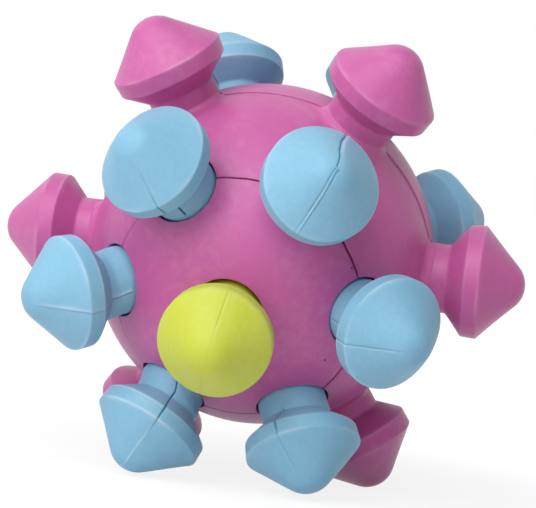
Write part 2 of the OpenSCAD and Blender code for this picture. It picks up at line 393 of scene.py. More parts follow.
def neck_and_head(root, steps, ball, stud, plug=False):
    """Outline of a root, the straight neck above it in so many steps, and the head of a stud or a plug."""
    flare, rim, cone, upper_round = (
        (stud.plug_flare_radius, stud.plug_rim_radius, stud.plug_cone_height, stud.plug_round) if plug else
        (stud.flare_radius, stud.rim_radius, stud.cone_height, stud.edge_round))
    neck_radius = root[-1][0]
    neck_top, rim_low, rim_top = head_heights(ball, stud)
    tip_centre = np.array((0.0, rim_top + cone - stud.tip_radius))
    across, up = tip_centre - (rim, rim_top)
    start = math.atan2(up, across) - math.asin(stud.tip_radius / math.hypot(across, up)) - math.pi / 2
    tip = [on_circle(tip_centre, stud.tip_radius, t) for t in np.linspace(start, math.pi / 2, 13)]
    neck, low, top = (neck_radius, neck_top), (flare, rim_low), (rim, rim_top)
    crook = round_corner((neck_radius, ball.outer_radius), neck, low, stud.crook_round, 6)
    lower = round_corner(neck, low, top, stud.edge_round, 7)
    upper = round_corner(low, top, tip[0], upper_round, 8)
    outline = root + straight(root[-1], (neck_radius, neck_top - NECK_REST), steps) + crook
    outline += straight(crook[-1], lower[0], 6) + lower + straight(lower[-1], upper[0], 6) + upper
    return np.array(outline + straight(upper[-1], tip[0], 14) + tip)


def moulded_outline(ball, stud):
    """Outline of a pink stud from the chamber to its tip."""
    r, inn = stud.moulded_neck_radius, ball.inner_radius
    root = [(0.0, inn), (r * 0.5, math.sqrt(inn ** 2 - r * r / 4)), (r, math.sqrt(inn ** 2 - r * r))]
    return neck_and_head(root, 9, ball, stud)


def push_in_outline(ball, stud):
    """Outline of a blue stud with its beaded root, and the radius, foot and top of its two keys."""
    bead, key_r = ball.hole_radius - HOLD_SLACK, ball.eye_radius - KEY_SLACK
    end, high, lead, line = ball.inner_radius - 0.002, 0.004, 0.001, 0.00005
    low = math.sqrt(ball.inner_radius ** 2 - key_r ** 2)
    top = math.sqrt(ball.outer_radius ** 2 - key_r ** 2) - 0.002
    foot = max(low, end + high)
    r = stud.neck_radius
    root = [(0.0, end), (bead * 0.6, end), (bead - lead, end), (bead, end + lead), (bead, end + high - lead),
            (bead + (r - bead) * 0.5, end + high - lead / 2), (r, end + high)]
    if low > end + high + 2 * line:
        root += [(r, low - line), (r, low)]
    root += [(r, (foot + top) / 2), (r, top), (r, top + line)]
    return neck_and_head(root, 12, ball, stud), (key_r, foot, top)


def plug_outline(ball, stud):
    """Outline of a green plug with the bulb that holds it in its port."""
    bulb, end = ball.port_radius - HOLD_SLACK, ball.inner_radius - 0.0025
    lead, high, shoulder = 0.001, 0.0014, 0.0018
    root = [(0.0, end), (bulb * 0.6, end), (bulb - lead, end), (bulb, end + lead), (bulb, end + high),
            (stud.plug_neck_radius, end + high + shoulder)]
    return neck_and_head(root, 8, ball, stud, True)


# Rubber pieces spun round their own axis

LINE_WIDTH = 0.00022
THIN_LINE_WIDTH, THIN_LINE_PLACE, THIN_LINE_DEPTH = 0.00018, 0.00042, 0.7
LINE_WANDER, LINE_WANDER_SIZE = 0.00004, 0.006
LINE_ROUGH, LINE_ROUGH_SIZE = 0.30, 0.003
RIDGE_HEIGHT, RIDGE_HIGHLIGHT = 0.55, 0.9  # a full ridge's share of the depth of a line, and of the painted highlight mask
LINE_REACH = math.radians(45)  # how far round the stud the columns bend along with a straying line
MOST_BEND = 0.45
STUD_WOBBLE_SIZE, HIGHLIGHT_SIZE = 0.016, 0.012
KEY_HALF_ANGLE = 4.0
TINY = 1e-9
SHARP_TURN = 0.10  # sine of the turn from which an edge gets its full painted highlight
# Mean and swing of the noise that breaks up the painted edge highlight
HIGHLIGHT_MEAN, HIGHLIGHT_SWING = 0.45, 0.9
WOBBLE_START, MOVE_START, SLIP_START = 0.004, 0.003, 0.0025  # heights over which these begin at the ball


def line_heights(ball, stud):
    """Heights at which a mould line is given: neck, crook, underside, rim, cone foot, middle, top and tip."""
    neck_top, rim_low, rim_top = head_heights(ball, stud)
    cone = stud.cone_height
    return (neck_top - 0.0015, neck_top, (neck_top + rim_low) / 2, (rim_low + rim_top) / 2, rim_top + 0.0006,
            rim_top + cone * 0.35, rim_top + cone - 0.003, rim_top + cone - 0.0003)


def column_angles():
    """Angles of the columns of a spun piece, closer together at its two mould lines and its two keys."""
    line = (0.0, 0.7, 1.4, 2.1, 2.9, 4.0, 5.6, 8.0, 11.5)
    quarter = np.concatenate((line, np.linspace(line[-1], 84.8, 14)[1:], (86.2, 90.0)))
    half = np.concatenate((quarter, 180 - quarter[-2::-1]))
    return np.radians(np.concatenate((half, half[1:-1] + 180)))


def mould_marks(r, z, angles, heights, lines, pivot, seed):
    """What two mould lines do to a spun piece: its columns' turn, its relief as a share, and two masks.

    Lines hold the mould line on +X and the one on -X, as the table of mould lines gives them.
    """
    turn, relief, dark, pale = (np.zeros(np.broadcast_shapes(r.shape, angles.shape)) for _ in range(4))
    for side, (depths, ridges, strays, (ridge_at, ridge_width)) in zip((0.0, math.pi), lines):
        depth, ridge, aside = (np.interp(z, heights, values) * (z > pivot)
                               for values in (depths, ridges, strays))
        line = np.concatenate((z * 0, z * 0 + side, z), 1)
        aside = aside + LINE_WANDER * soft_noise(line, seed + 7 + int(side), LINE_WANDER_SIZE, 6)[:, None]
        offset = wrap(angles - side)
        bend = np.clip(aside / r, -MOST_BEND, MOST_BEND) * bell(offset, LINE_REACH)
        turn += bend * np.clip(depth * 4, 0, 1)
        across = r * np.sin(offset)
        facing = np.cos(offset) > 0
        face = np.stack(np.broadcast_arrays(across, z, z * 0 + side), -1)
        rough = 1 + LINE_ROUGH * soft_noise(face, seed + 50, LINE_ROUGH_SIZE, 6)
        thin = sum(bell(across - place, THIN_LINE_WIDTH) for place in (-THIN_LINE_PLACE, THIN_LINE_PLACE))
        valley = bell(across, LINE_WIDTH) if ridge_at else THIN_LINE_DEPTH * thin
        cut = depth * rough * valley * facing
        lip = ridge * bell(across - ridge_at, ridge_width) * facing
        relief += RIDGE_HEIGHT * lip - cut
        # The dark mask is painted shade in the groove, and the pale mask is a painted highlight on the ridge
        dark += cut
        pale += RIDGE_HIGHLIGHT * lip
    return turn, relief, dark, pale


def edge_highlight(outline, widest, pivot):
    """Painted highlight at an outline's inner points: most where it turns sharply, far out on the head."""
    before, after = outline[1:-1] - outline[:-2], outline[2:] - outline[1:-1]
    turn = np.abs(before[:, 0] * after[:, 1] - before[:, 1] * after[:, 0])
    turn /= np.linalg.norm(before, axis=1) * np.linalg.norm(after, axis=1)
    on_rim = (outline[1:-1, 0] > widest * 0.93) & (outline[1:-1, 1] > pivot)
    return np.clip(turn / SHARP_TURN, 0, 1) * on_rim


def set_askew(points, shape, pivot):
    """Twists, widens, stretches, leans and moves all above the pivot, as the table of head shapes says."""
    x, y, z = points.T
    above = np.clip((z - pivot) / MOVE_START, 0, 1)
    free = np.clip((z - pivot) / SLIP_START + 1, 0, 1)
    cos, sin = np.cos(shape["twist"] * free), np.sin(shape["twist"] * free)
    wide = 1 + (shape["width"] - 1) * above
    x, y = (x * cos - y * sin) * wide, (x * sin + y * cos) * wide
    height = np.maximum(z - pivot, 0) * shape["length"]
    moves = [slip * free + shift * above + lean * height
             for slip, shift, lean in zip(shape["slip"], shape["shift"], shape["lean"])]
    tilt = above * (shape["lean"][0] * x + shape["lean"][1] * y)
    return np.stack((x + moves[0], y + moves[1], np.where(z > pivot, pivot + height, z) - tilt), -1)


def spun_piece(name, outline, seed, ball, stud, lines, key=None):
    """Spun rubber piece about +Z, as (points, faces, fans, masks). Only what is above the ball is uneven."""
    pivot = ball.outer_radius
    angles = column_angles()[None, :]
    r, z = outline[1:-1, :1], outline[1:-1, 1:]
    tangent = unit(np.gradient(outline, axis=0)[1:-1])
    turn, relief, dark, pale = mould_marks(r, z, angles, line_heights(ball, stud), lines, pivot, seed)
    body = round_axis(r, angles, z)
    above = np.clip((z - pivot) / WOBBLE_START, 0, 1)
    out = stud.mould_line * relief + stud.wobble * soft_noise(body, seed, STUD_WOBBLE_SIZE) * above
    radius, height = r + tangent[:, 1:] * out, z - tangent[:, :1] * out
    if key is not None:
        key_radius, foot, top = key
        at_key = np.abs(np.abs(np.degrees(angles) % 180 - 90)) < KEY_HALF_ANGLE
        patch = (z > foot - TINY) & (z < top + TINY) & at_key
        radius = np.where(patch, key_radius / np.maximum(np.abs(np.sin(angles)), 0.5), radius)
    # Painted highlight on the sharp edges of the rim, broken up by noise
    highlight = edge_highlight(outline, stud.flare_radius, pivot)[:, None]
    pale += highlight * np.clip(HIGHLIGHT_MEAN + HIGHLIGHT_SWING * soft_noise(body, seed + 90, HIGHLIGHT_SIZE, 6), 0, 1)
    points = round_axis(radius, angles + turn, height)
    rows, columns = radius.shape
    points = np.concatenate((points.reshape(-1, 3), ((0, 0, outline[0, 1]), (0, 0, outline[-1, 1]))))
    masks = {label: np.append(np.clip(values, 0, 1), (0, 0))
             for label, values in (("mould_line", dark), ("pale_edge", pale))}
    count = rows * columns
    fans = ((np.arange(columns)[::-1], count), (np.arange(columns) + count - columns, count + 1))
    shape = {**TRUE_SHAPE, **HEAD_SHAPES.get(name, {})}
    return set_askew(points, shape, pivot), ring_faces(rows, columns, False), fans, masks


def push_in_piece(node, slot, outline, seed, polar, azimuth, ball, stud, lines, key=None):
    """Blue stud or green plug in its hole, for its CAD node, which is a body of its own."""
    points, *rest = spun_piece(node, outline, seed, ball, stud, lines, key)
    placed = stand_up(place_on_ball(points, polar, azimuth), ball.ring_angle)
    piece = mesh_object(node + "_rubber", placed, *rest)
    fit_to_frame(piece, node, node, slot)


# Panels. A panel is a closed tube of rings: its outer face, its edges and walls, and its inner face.

CAP_STEPS, BAND_STEPS = (44, 16), (44, 24)  # steps along a hole's arc and along the seam between two holes
FRONT_SPREAD, BACK_SPREAD = 0.07, 0.02  # how much closer together those along the seam get near a hole
PANEL_WOBBLE, PANEL_WOBBLE_SIZE = 0.00008, 0.034
WOBBLE_DEPTH, WOBBLE_FADE = 0.002, 0.0015  # how deep in the wall the wobble starts, and over what it grows
SEAM_WANDER, SEAM_WANDER_SIZE = 0.00010, 0.004
SEAM_REACH = 0.0015  # how far beside the seam its panels give
# How far from midway between two studs the seam may move, and the last stretch over which that fades out
SEAM_WINDOW, SEAM_FADE = math.radians(13), math.radians(3)
LIP_FADE, LIP_MARGIN = 0.00035, 0.0006  # over what the lip fades out, and how far past it fine rings reach
# Rings that run round the pink necks: how far each stays off the equator between them
NECK_INSETS = (0.0022, 0.0018, 0.0015, 0.0012, 0.00095, 0.00075, 0.00058, 0.00044, 0.0003, 0.00019, 0.00009,
               0.00002, 0.0)


def hole_ring(polar, sign, radius, offset, cut, rho, steps, spread):
    """Six arcs of stud holes joined by stretches of one parallel, as a ring on a sphere of radius rho.

    A hole is a circle of this radius about a point moved by offset along the meridian, and it's cut by the
    parallel at polar angle cut. Sign is -1 for the side nearer the pole and 1 for the far side.
    """
    def arc_points(turn):
        x, y = sign * (radius * np.cos(turn) - offset), radius * np.sin(turn)
        return turned(np.stack((x, y, np.sqrt(rho ** 2 - x ** 2 - y ** 2)), -1), 1, polar)

    arc_steps, line_steps = steps
    turn = np.linspace(0, math.radians(150), 3001)
    short_of_cut = sign * (cut - np.arccos(arc_points(turn)[:, 2] / rho))
    stop = np.interp(0.0, short_of_cut, turn)
    arc = arc_points(np.linspace(-stop, stop, arc_steps + 1))
    corner = math.atan2(arc[-1, 1], arc[-1, 0])
    t = np.arange(1, line_steps) / line_steps
    t = t - spread * np.sin(2 * math.pi * t)
    line = round_axis(rho * math.sin(cut), corner + (SECTOR - 2 * corner) * t, rho * math.cos(cut))
    sector = np.concatenate((arc, line))
    return np.concatenate([turned(sector, 2, SECTOR * k) for k in range(STUDS_PER_RING)])


def round_ring(radius, rho, like):
    """Ring of points on a sphere at this distance from the polar axis, one for each point of another ring."""
    azimuth = np.unwrap(np.arctan2(like[:, 1], like[:, 0]))
    even = np.linspace(0, 2 * math.pi, len(like), endpoint=False) + azimuth[0]
    return round_axis(radius, azimuth * 0.6 + even * 0.4, math.sqrt(rho ** 2 - radius ** 2))


def between(first, last, count, rho, ease=0.0):
    """Rings between two rings, on a sphere of radius rho, without the two ends."""
    t = np.arange(1, count) / count
    t = (t - ease * np.sin(2 * math.pi * t) / (2 * math.pi))[:, None, None]
    return list(unit(first[None] * (1 - t) + last[None] * t) * rho)


def rounded(ring, face, radius, steps=4):
    """Rings over a rounded edge, from the wall to a face at this distance from the centre.

    Ring draws one at a distance from the edge and one from the centre. Radius is negative at an inner face.
    """
    turn = np.linspace(math.pi / 2, 0, steps + 1)
    return [ring(abs(radius) * (1 - math.sin(b)), face - radius * (1 - math.cos(b))) for b in turn]


def eye_circle(ball):
    """Radius and offset of the two circles that make an eye shaped hole."""
    radius = (ball.eye_radius ** 2 + ball.hole_radius ** 2) / (2 * ball.hole_radius)
    return radius, radius - ball.hole_radius


def wall_values(ball):
    """Radii of the outer face, the ledges and the inner face, rounding, and the ledges' width as an angle."""
    lap = (ball.outer_radius + ball.inner_radius) / 2
    return ball.outer_radius, lap, ball.inner_radius, ball.edge_round, math.asin(ball.ledge_width / lap)


def fillet_values(ball, stud):
    """Centre of the fillet's arc at a pink neck, and the angles from the neck's axis to its foot and top."""
    across = stud.moulded_neck_radius + ball.fillet
    along = math.sqrt((ball.outer_radius + ball.fillet) ** 2 - across ** 2)
    return across, along, math.atan2(across, along), math.atan2(stud.moulded_neck_radius, along)


def seam_maker(ball, sign, steps, spread):
    """Function that draws rings along a seam, for the cap if sign is -1 and for the band if it's 1."""
    radius, offset = eye_circle(ball)
    half_gap = ball.seam_gap / 2 / ball.outer_radius

    def seam(inset, rho, step=0.0):
        cut = ball.ring_angle + sign * (half_gap + inset / ball.outer_radius) - step
        return hole_ring(ball.ring_angle, sign, radius + inset, offset, cut, rho, steps, spread)

    return seam


def settle_seam(rings, ball):
    """Opens or closes the front seam between its studs, and lets it wander a little, as soft panels do."""
    points = np.stack(rings)
    reach = np.linalg.norm(points, axis=-1)
    polar = np.arccos(points[..., 2] / reach)
    azimuth = np.arctan2(points[..., 1], points[..., 0]) % (2 * math.pi)
    opening = np.array(SEAM_OPENING)[(azimuth // SECTOR).astype(int) % STUDS_PER_RING]
    window = smooth((SEAM_WINDOW - np.abs(azimuth % SECTOR - SECTOR / 2)) / SEAM_FADE)
    apart = (polar - ball.ring_angle) * ball.outer_radius
    wander = SEAM_WANDER * soft_noise(round_axis(0.03, azimuth, 0.0), 5, SEAM_WANDER_SIZE, 8)
    move = (np.sign(apart) * (opening - 1) * ball.seam_gap / 2 + wander) * window
    polar = polar + move * smooth(1 - np.abs(apart) / SEAM_REACH) / ball.outer_radius
    return list(round_axis(reach * np.sin(polar), azimuth, reach * np.cos(polar)))


def cap_rings(ball):
    """Rings of a polar cap, from the port's outer edge over the face to the seam and back inside."""
    out, lap, inn, edge, ledge = wall_values(ball)
    floor = lap + ball.seat_clear
    seam = seam_maker(ball, -1, CAP_STEPS, 0.0)
    like = seam(edge, out)

    def inner_seam(inset, rho):
        return seam(inset, rho, ledge)

    def port(inset, rho):
        return round_ring(ball.port_radius + inset, rho, like)

    rings = [port(0.0, rho) for rho in np.linspace(inn + edge, out - edge, 4)[:-1]] + rounded(port, out, edge)
    rings += between(port(edge, out), like, 22, out, ease=0.55) + rounded(seam, out, edge)[::-1]
    rings += [seam(0.0, rho) for rho in np.linspace(out - edge, floor, 4)[1:]]
    rings += [seam(0.0, floor, ledge * t) for t in (0.5, 1.0)]
    rings += [inner_seam(0.0, (floor + inn) / 2)] + rounded(inner_seam, inn, -edge, 2)
    rings += between(inner_seam(edge, inn), port(edge, inn), 8, inn)
    return rings + rounded(port, inn, -edge, 2)[:0:-1]


def band_start(ball, seam):
    """Rings of a band from its inner edge over the ledge and up the seam's wall to its face."""
    out, lap, inn, edge, ledge = wall_values(ball)
    rings = [seam(0.0, rho, ledge) for rho in (inn + edge, (inn + lap) / 2, lap)]
    rings += [seam(0.0, lap, ledge * t) for t in (0.5, 0.0)]
    rings += [seam(0.0, rho) for rho in np.linspace(lap, out - edge, 4)[1:-1]]
    return rings + rounded(seam, out, edge)


def band_end(ball, seam, last, count):
    """Rings of a band's inner face, from this ring back to the inner edge at the seam."""
    _, _, inn, edge, ledge = wall_values(ball)
    rounding = rounded(lambda inset, rho: seam(inset, rho, ledge), inn, -edge, 2)
    return between(last, rounding[-1], count, inn) + rounding[:0:-1]


def surface_radius(directions, ball, stud):
    """Distance from the centre to the front band's face, which rises in a fillet at each pink neck."""
    across, along, foot, neck = fillet_values(ball, stud)
    axes = round_axis(1.0, SECTOR * np.arange(STUDS_PER_RING), 0.0)
    angle = np.arccos(np.clip((directions @ axes.T).max(-1), -1, 1))
    here = np.clip(angle, neck, foot)
    b = across * np.sin(here) + along * np.cos(here)
    c = across ** 2 + along ** 2 - ball.fillet ** 2
    rise = b - np.sqrt(np.maximum(b * b - c, 0))
    return np.where(angle < foot, rise, ball.outer_radius)


def front_band_rings(ball, stud):
    """Rings of the front band, from the seam over the face and the fillets to the equator and back inside."""
    out, lap, inn, edge, _ = wall_values(ball)
    seam = seam_maker(ball, 1, BAND_STEPS, FRONT_SPREAD)

    def equator(inset, angle):
        return hole_ring(math.pi / 2, -1, math.sin(angle), 0.0, math.pi / 2 - inset / out, 1.0, BAND_STEPS,
                         FRONT_SPREAD)

    def on_face(directions):
        directions = unit(directions)
        near = np.abs(directions[..., 2]) * out
        part = ball.parting_round
        drop = part - np.sqrt(np.maximum(part ** 2 - np.maximum(part - near, 0) ** 2, 0))
        return directions * (surface_radius(directions, ball, stud) - drop)[..., None]

    _, _, foot, neck = fillet_values(ball, stud)
    inside = neck - math.radians(0.35)
    on_fillet = np.linspace(foot - math.radians(0.1), neck + math.radians(0.03), len(NECK_INSETS) - 3)
    angles = (foot + math.radians(0.8), foot + math.radians(0.25), *on_fillet, inside)
    neck_rings = [equator(inset, angle) for inset, angle in zip(NECK_INSETS, angles)]
    face = between(seam(edge, out) / out, neck_rings[0], 20, 1.0, ease=0.35)
    rings = band_start(ball, seam) + [on_face(r) for r in face + neck_rings]
    rebate = lap + ball.lap_clear
    rise = ball.lap_height + ball.lap_clear
    top = math.hypot(rebate, rise)
    rings += [equator(0.0, inside) * rho for rho in (out - 2 * edge, (out + rebate) / 2, rebate)]
    rings += [equator(t * rise, inside) * math.hypot(rebate, t * rise) for t in (0.5, 1.0)]
    rings += [equator(rise, inside) * rho for rho in ((top + inn) / 2, inn)]
    return rings + band_end(ball, seam, rings[-1], 8)


def back_band_rings(ball):
    """Rings of the back band, drawn as if in front, with its raised lip, half holes and the lap's tongue."""
    out, lap, inn, edge, _ = wall_values(ball)
    seam = seam_maker(ball, 1, BAND_STEPS, BACK_SPREAD)
    radius, offset = eye_circle(ball)
    part = math.pi / 2 - ball.parting_gap / out

    def equator(inset, rho, where=part):
        return hole_ring(math.pi / 2, -1, radius + inset, offset, where - inset / out, rho, BAND_STEPS,
                         BACK_SPREAD)

    def on_lip(directions):
        directions = unit(directions)
        off_lip = smooth((directions[..., 2] * out - ball.lip_width) / LIP_FADE)
        part_way = np.clip(np.arcsin(directions[..., 2]) / (math.pi / 2 - ball.ring_angle), 0, 1)
        full = ball.back_fullness * np.sin(math.pi * part_way) ** 2
        return directions * (out + full + ball.lip_out * (1 - off_lip))[..., None]

    wide = ball.lip_width + LIP_MARGIN
    rings = band_start(ball, seam)
    rings += [on_lip(r) for r in between(seam(edge, out), equator(wide, out), 20, out, ease=0.4)]
    rings += [on_lip(equator(s, out)) for s in np.linspace(wide, ball.parting_round, 12)[:-1]]
    rings += rounded(lambda inset, rho: on_lip(equator(inset, out)) * (rho / out), out,
                     ball.parting_round)[::-1]
    down = ball.lap_height + ball.parting_gap
    rings += [equator(0.0, rho) for rho in ((out + lap) / 2, lap)]
    rings += [equator(0.0, math.hypot(lap, t * down), part + t * down / lap) for t in (0.5, 1.0)]
    end = part + down / lap
    rings += [equator(0.0, rho, end) for rho in ((math.hypot(lap, down) + inn) / 2, inn + edge)]
    return rings + band_end(ball, seam, equator(0.0, inn, end), 10)


def panel_object(name, rings, ball, seed, front, studs=()):
    """Makes a panel from its rings and its studs, with the slight unevenness of moulded rubber."""
    points = np.stack(rings)
    rows, columns = points.shape[:2]
    flat = points.reshape(-1, 3)
    reach = np.linalg.norm(flat, axis=1)
    outer = np.clip((reach - ball.outer_radius + WOBBLE_DEPTH) / WOBBLE_FADE, 0, 1)
    flat = flat * (1 + PANEL_WOBBLE * outer * soft_noise(flat, seed, PANEL_WOBBLE_SIZE) / reach)[:, None]
    if not front:
        flat = flat * np.array((1, 1, -1))
    flat = stand_up(flat, ball.ring_angle)
    faces = outward(flat, ring_faces(rows, columns, True))
    fans = []
    masks = {"mould_line": np.zeros(len(flat)), "pale_edge": np.zeros(len(flat))}
    for more, quads, more_fans, more_masks in studs:
        base = len(flat)
        flat = np.concatenate((flat, more))
        faces = np.concatenate((faces, quads + base))
        fans += [(ring + base, centre + base) for ring, centre in more_fans]
        masks = {label: np.concatenate((values, more_masks[label])) for label, values in masks.items()}
    return mesh_object(name, flat, faces, fans, masks)


# Materials

WHITE, GREY, DARK_GREY = (1.0, 1.0, 1.0, 1.0), (0.8, 0.8, 0.8, 1.0), (0.4, 0.4, 0.4, 1.0)
# Painted shade of the pinholes, which have no depth in the mesh
PINHOLE_SHADE = (0.03, 0.006, 0.02, 1.0)
COLOUR_SOCKET, FLOAT_SOCKET = "NodeSocketColor", "NodeSocketFloat"
NODE_STEP = (220, -220)  # columns and rows of the grid in which nodes are laid out
NODES_PER_COLUMN = 3


def feed(tree, node, inputs):
    """Links or sets a node's inputs, given as {name or number: socket or value}."""
    for key, value in inputs.items():
        if isinstance(value, bpy.types.NodeSocket):
            tree.links.new(value, node.inputs[key])
        else:
            node.inputs[key].default_value = value


def add_node(tree, kind, inputs=None, **settings):
    """Adds a node with its settings and inputs, at the next place of a grid in the editor."""
    column, row = divmod(len(tree.nodes), NODES_PER_COLUMN)
    made = tree.nodes.new(kind)
    made.location = (column * NODE_STEP[0], row * NODE_STEP[1])
    for key, value in settings.items():
        setattr(made, key, value)
    feed(tree, made, inputs or {})
    return made


def add_group(tree, name, inputs):
    """Adds a shared node group with its inputs."""
    return add_node(tree, "ShaderNodeGroup", inputs, node_tree=bpy.data.node_groups[name])


def new_group(name, inputs, outputs):
    """Shader node group with inputs {name: default}, where a tuple is a colour, and outputs {name: kind}."""
    group = bpy.data.node_groups.new(name, "ShaderNodeTree")
    for label, value in inputs.items():
        kind = COLOUR_SOCKET if isinstance(value, tuple) else FLOAT_SOCKET
        socket = group.interface.new_socket(name=label, in_out="INPUT", socket_type=kind)
        socket.default_value = value
    for label, kind in outputs.items():
        group.interface.new_socket(name=label, in_out="OUTPUT", socket_type=kind)
    return group, add_node(group, "NodeGroupInput").outputs, add_node(group, "NodeGroupOutput")


def new_tree(owner):
    """Turns nodes on for a material or a world, and gives its node tree."""
    owner.use_nodes = True
    return owner.node_tree


def math_node(tree, operation, a, b, clamp=False):
    """Math node whose two inputs are sockets or numbers."""
    return add_node(tree, "ShaderNodeMath", {0: a, 1: b}, operation=operation, use_clamp=clamp).outputs[0]


def times(tree, a, b, clamp=False):
    """Product of sockets or numbers."""
    return math_node(tree, "MULTIPLY", a, b, clamp)


def mix_colour(tree, factor, a, b):
    """Colour mix node whose inputs are sockets or values."""
    return add_node(tree, "ShaderNodeMix", {0: factor, 6: a, 7: b}, data_type="RGBA").outputs[2]


def object_place(tree):
    """Place on the object, in its own coordinates."""
    return add_node(tree, "ShaderNodeTexCoord").outputs["Object"]


def noise_node(tree, place, scale, detail, roughness):
    """Noise texture at this place."""
    inputs = {"Vector": place, "Scale": scale, "Detail": detail, "Roughness": roughness}
    return add_node(tree, "ShaderNodeTexNoise", inputs).outputs[0]


def smooth_range(tree, value, low, high, at_low, at_high):
    """Value that goes softly from at_low to at_high while another goes from low to high."""
    inputs = {"Value": value, "From Min": low, "From Max": high, "To Min": at_low, "To Max": at_high}
    return add_node(tree, "ShaderNodeMapRange", inputs, interpolation_type="SMOOTHSTEP").outputs["Result"]


def pigment_group():
    """Pigment that varies a little in tone, with painted shade in mould lines and painted highlight on edges.
    """
    group, start, end = new_group(
        "Pigment Mottle",
        {"Colour": GREY, "Deep Colour": DARK_GREY, "Mottle": 0.5, "Scale": 90.0, "Line": 0.0, "Edge": 0.0,
         "Wear": 0.1},
        {"Colour": COLOUR_SOCKET})
    place = object_place(group)
    broad = noise_node(group, place, start["Scale"], 3.0, 0.55)
    fine = noise_node(group, place, times(group, start["Scale"], 9.0), 4.0, 0.65)
    centred = math_node(group, "SUBTRACT", math_node(group, "ADD", broad, fine), 1.0)
    amount = times(group, centred, start["Mottle"])
    dark = math_node(group, "MAXIMUM", amount, 0.0, True)
    light = times(group, amount, -0.55, True)
    # Painted highlight on sharp edges and ridges, mixed toward white
    highlighted = times(group, start["Edge"], start["Wear"], True)
    # Painted shade in the mould-line grooves, in the deep colour
    groove_shade = times(group, start["Line"], 0.9, True)
    toned = mix_colour(group, dark, start["Colour"], start["Deep Colour"])
    edged = mix_colour(group, highlighted, mix_colour(group, light, toned, WHITE), WHITE)
    feed(group, end, {"Colour": mix_colour(group, groove_shade, edged, start["Deep Colour"])})


def pinhole_group():
    """Three pinholes in the pink rubber, painted as dots of shade at points of the ball's surface in metres.
    """
    group, start, end = new_group("Pinholes", {"Colour": GREY, "Radius": 0.0004}, {"Colour": COLOUR_SOCKET})
    place = object_place(group)
    inner = times(group, start["Radius"], 0.55)
    seen = start["Colour"]
    for point in PINHOLES:
        away = add_node(group, "ShaderNodeVectorMath", {0: place, 1: point}, operation="DISTANCE")
        hole = smooth_range(group, away.outputs["Value"], inner, start["Radius"], 0.9, 0.0)
        seen = mix_colour(group, hole, seen, PINHOLE_SHADE)
    feed(group, end, {"Colour": seen})


def grain_group():
    """Fine moulded grain: a height in metres, and how rough the surface looks there."""
    group, start, end = new_group(
        "Moulded Grain", {"Depth": 0.00001, "Roughness": 0.5, "Variation": 0.12},
        {"Height": FLOAT_SOCKET, "Roughness": FLOAT_SOCKET})
    place = object_place(group)
    fine = noise_node(group, place, 2600.0, 3.0, 0.6)
    pebble = noise_node(group, place, 700.0, 2.0, 0.5)
    slow = noise_node(group, place, 60.0, 3.0, 0.6)
    summed = math_node(group, "ADD", fine, times(group, pebble, 1.6))
    centred = math_node(group, "SUBTRACT", slow, 0.5)
    varied = times(group, centred, start["Variation"])
    feed(group, end, {"Height": times(group, summed, start["Depth"]),
                      "Roughness": math_node(group, "ADD", varied, start["Roughness"], True)})


def rubber_material(name, tint, tone, scale, roughness, shine, highlight, pinholes, finish):
    """Matte coloured rubber with pigment mottle, moulded grain and, on the ball, pinholes.

    Tone is what its deep colour keeps of red, green and blue; the deep colour is also the painted shade in
    the mould lines. Highlight is the share of painted highlight on its sharp edges and ridges.
    """
    tree = new_tree(bpy.data.materials.new(name))
    line, edge = (add_node(tree, "ShaderNodeAttribute", attribute_name=label).outputs["Fac"]
                  for label in ("mould_line", "pale_edge"))
    deep = (c * t for c, t in zip(tint, tone))
    pigment = add_group(tree, "Pigment Mottle", {
        "Colour": (*tint, 1), "Deep Colour": (*deep, 1), "Mottle": finish.mottle, "Scale": scale,
        "Line": line, "Edge": edge, "Wear": highlight}).outputs["Colour"]
    if pinholes:
        pigment = add_group(tree, "Pinholes", {"Colour": pigment}).outputs["Colour"]
    grain = add_group(tree, "Moulded Grain", {"Depth": finish.grain, "Roughness": roughness}).outputs
    bump = add_node(tree, "ShaderNodeBump", {"Strength": 1.0, "Distance": 1.0, "Height": grain["Height"]})
    feed(tree, tree.nodes["Principled BSDF"], {
        "Base Color": pigment, "Roughness": grain["Roughness"], "Normal": bump.outputs["Normal"], "IOR": 1.5,
        "Specular IOR Level": shine, "Sheen Weight": 0.02, "Sheen Roughness": 0.5})


def plain_view(tree):
    """1 where the camera sees the material directly, in a reflection or through another, and 0 elsewhere."""
    ray = add_node(tree, "ShaderNodeLightPath").outputs
    direct = math_node(tree, "MAXIMUM", ray["Is Camera Ray"], ray["Is Transmission Ray"])
    return math_node(tree, "MAXIMUM", direct, ray["Is Glossy Ray"])


def mix_shaders(tree, factor, a, b, output):
    """Mixes two shaders into the output of a tree."""
    mixed = add_node(tree, "ShaderNodeMixShader", {0: factor, 1: a.outputs[0], 2: b.outputs[0]})
    feed(tree, tree.nodes[output], {"Surface": mixed.outputs[0]})


# Stage

FLOOR_REACH = 3.0
SHADOW_FADE = (0.09, 0.20)  # distances from the ball's centre between which the floor's shadow fades out


def floor_material(shadow):
    """Pale floor that looks white to the camera, with a share of its shadow near the object."""
    material = bpy.data.materials.new("Pale Floor")
    tree = new_tree(material)
    shader = tree.nodes["Principled BSDF"]
    feed(tree, shader, {"Base Color": (0.90, 0.90, 0.90, 1), "Roughness": 0.9, "Specular IOR Level": 0.1})
    away = add_node(tree, "ShaderNodeVectorMath", {0: object_place(tree)}, operation="LENGTH")
    fade = smooth_range(tree, away.outputs["Value"], *SHADOW_FADE, 1.0 - shadow, 1.0)
    seen = times(tree, fade, plain_view(tree))
    white = add_node(tree, "ShaderNodeEmission", {"Strength": 1.06})
    mix_shaders(tree, seen, shader, white, "Material Output")
    return material


